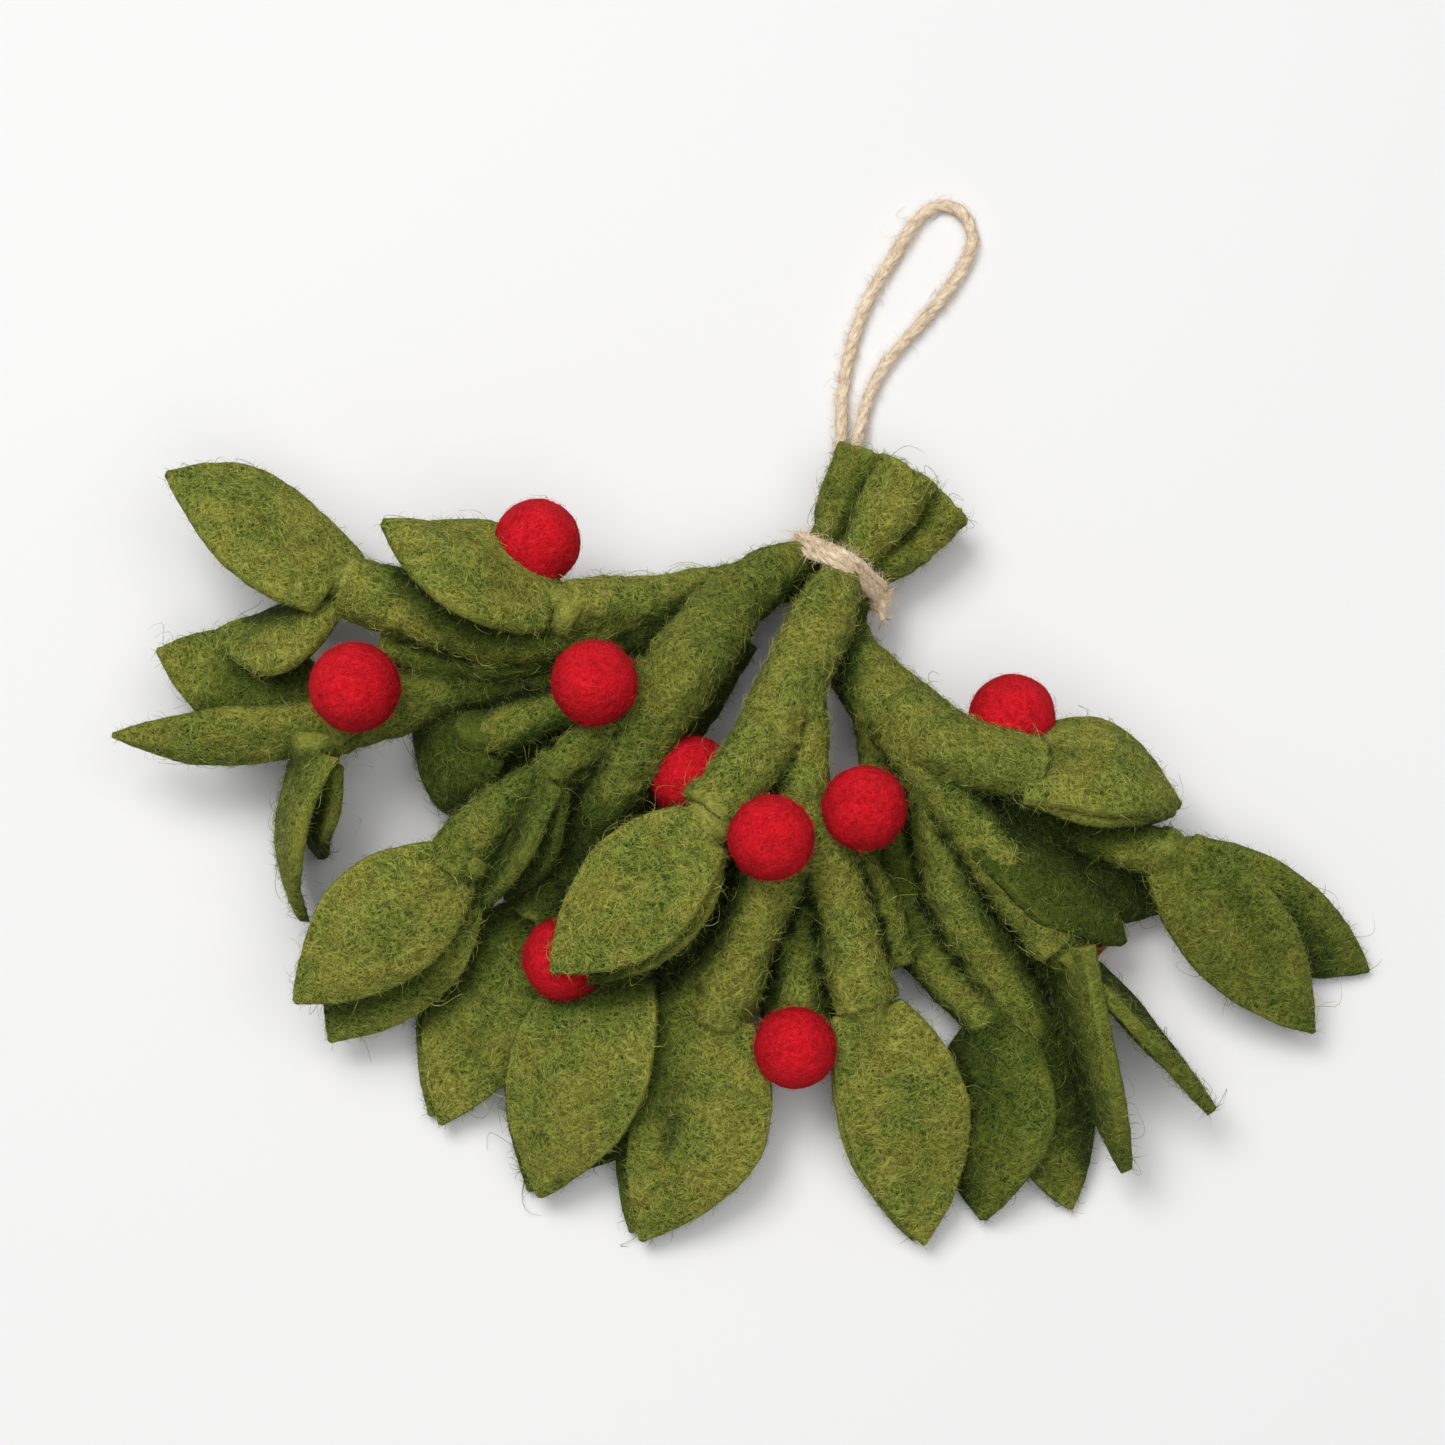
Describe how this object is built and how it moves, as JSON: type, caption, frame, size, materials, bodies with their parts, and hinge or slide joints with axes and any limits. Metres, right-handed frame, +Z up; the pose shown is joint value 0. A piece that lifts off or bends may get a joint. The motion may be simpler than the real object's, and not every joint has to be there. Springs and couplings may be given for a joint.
{
  "type": "felt mistletoe bunch",
  "caption": "Hanging Christmas bunch of felt mistletoe lying flat: forked stems with paired leaves and ball berries, bound with twine that also makes a hanging loop.",
  "frame": {"origin": "middle of the underside of the bunch's box, the hanging loop left out, on the surface the bunch lies on", "axes": "+X along the spread of the leaves from the left of the bunch to its right, +Y towards the cut stem ends and the hanging loop, +Z up off the surface"},
  "size_m": [0.2624, 0.2249, 0.0488],
  "materials": {
    "stem_felt": "rolled olive green wool felt",
    "leaf_felt": "thick mottled green wool felt sheet",
    "berry_felt": "needled red wool felt balls",
    "twine": "loosely laid jute twine"
  },
  "bodies": {
    "root": {"berry_1": "berry_felt", "berry_10": "berry_felt", "berry_2": "berry_felt", "berry_3": "berry_felt", "berry_4": "berry_felt", "berry_5": "berry_felt", "berry_6": "berry_felt", "berry_7": "berry_felt", "berry_8": "berry_felt", "berry_9": "berry_felt", "binding_twine": "twine", "hanging_loop": "twine", "leaves_far_left_lower": "leaf_felt", "leaves_far_left_middle": "leaf_felt", "leaves_far_left_upper": "leaf_felt", "leaves_far_right": "leaf_felt", "leaves_front_left": "leaf_felt", "leaves_left_broad": "leaf_felt", "leaves_left_curled": "leaf_felt", "leaves_left_lower": "leaf_felt", "leaves_left_narrow": "leaf_felt", "leaves_middle_left": "leaf_felt", "leaves_middle_lower": "leaf_felt", "leaves_middle_right": "leaf_felt", "leaves_middle_top": "leaf_felt", "leaves_middle_under": "leaf_felt", "leaves_right_hidden": "leaf_felt", "leaves_right_inner": "leaf_felt", "leaves_right_lower": "leaf_felt", "leaves_right_top": "leaf_felt", "leaves_right_under": "leaf_felt", "leaves_right_upright": "leaf_felt", "stem_centre": "stem_felt", "stem_left": "stem_felt", "stem_right": "stem_felt", "stem_upper_left": "stem_felt"}
  },
  "joints": []
}
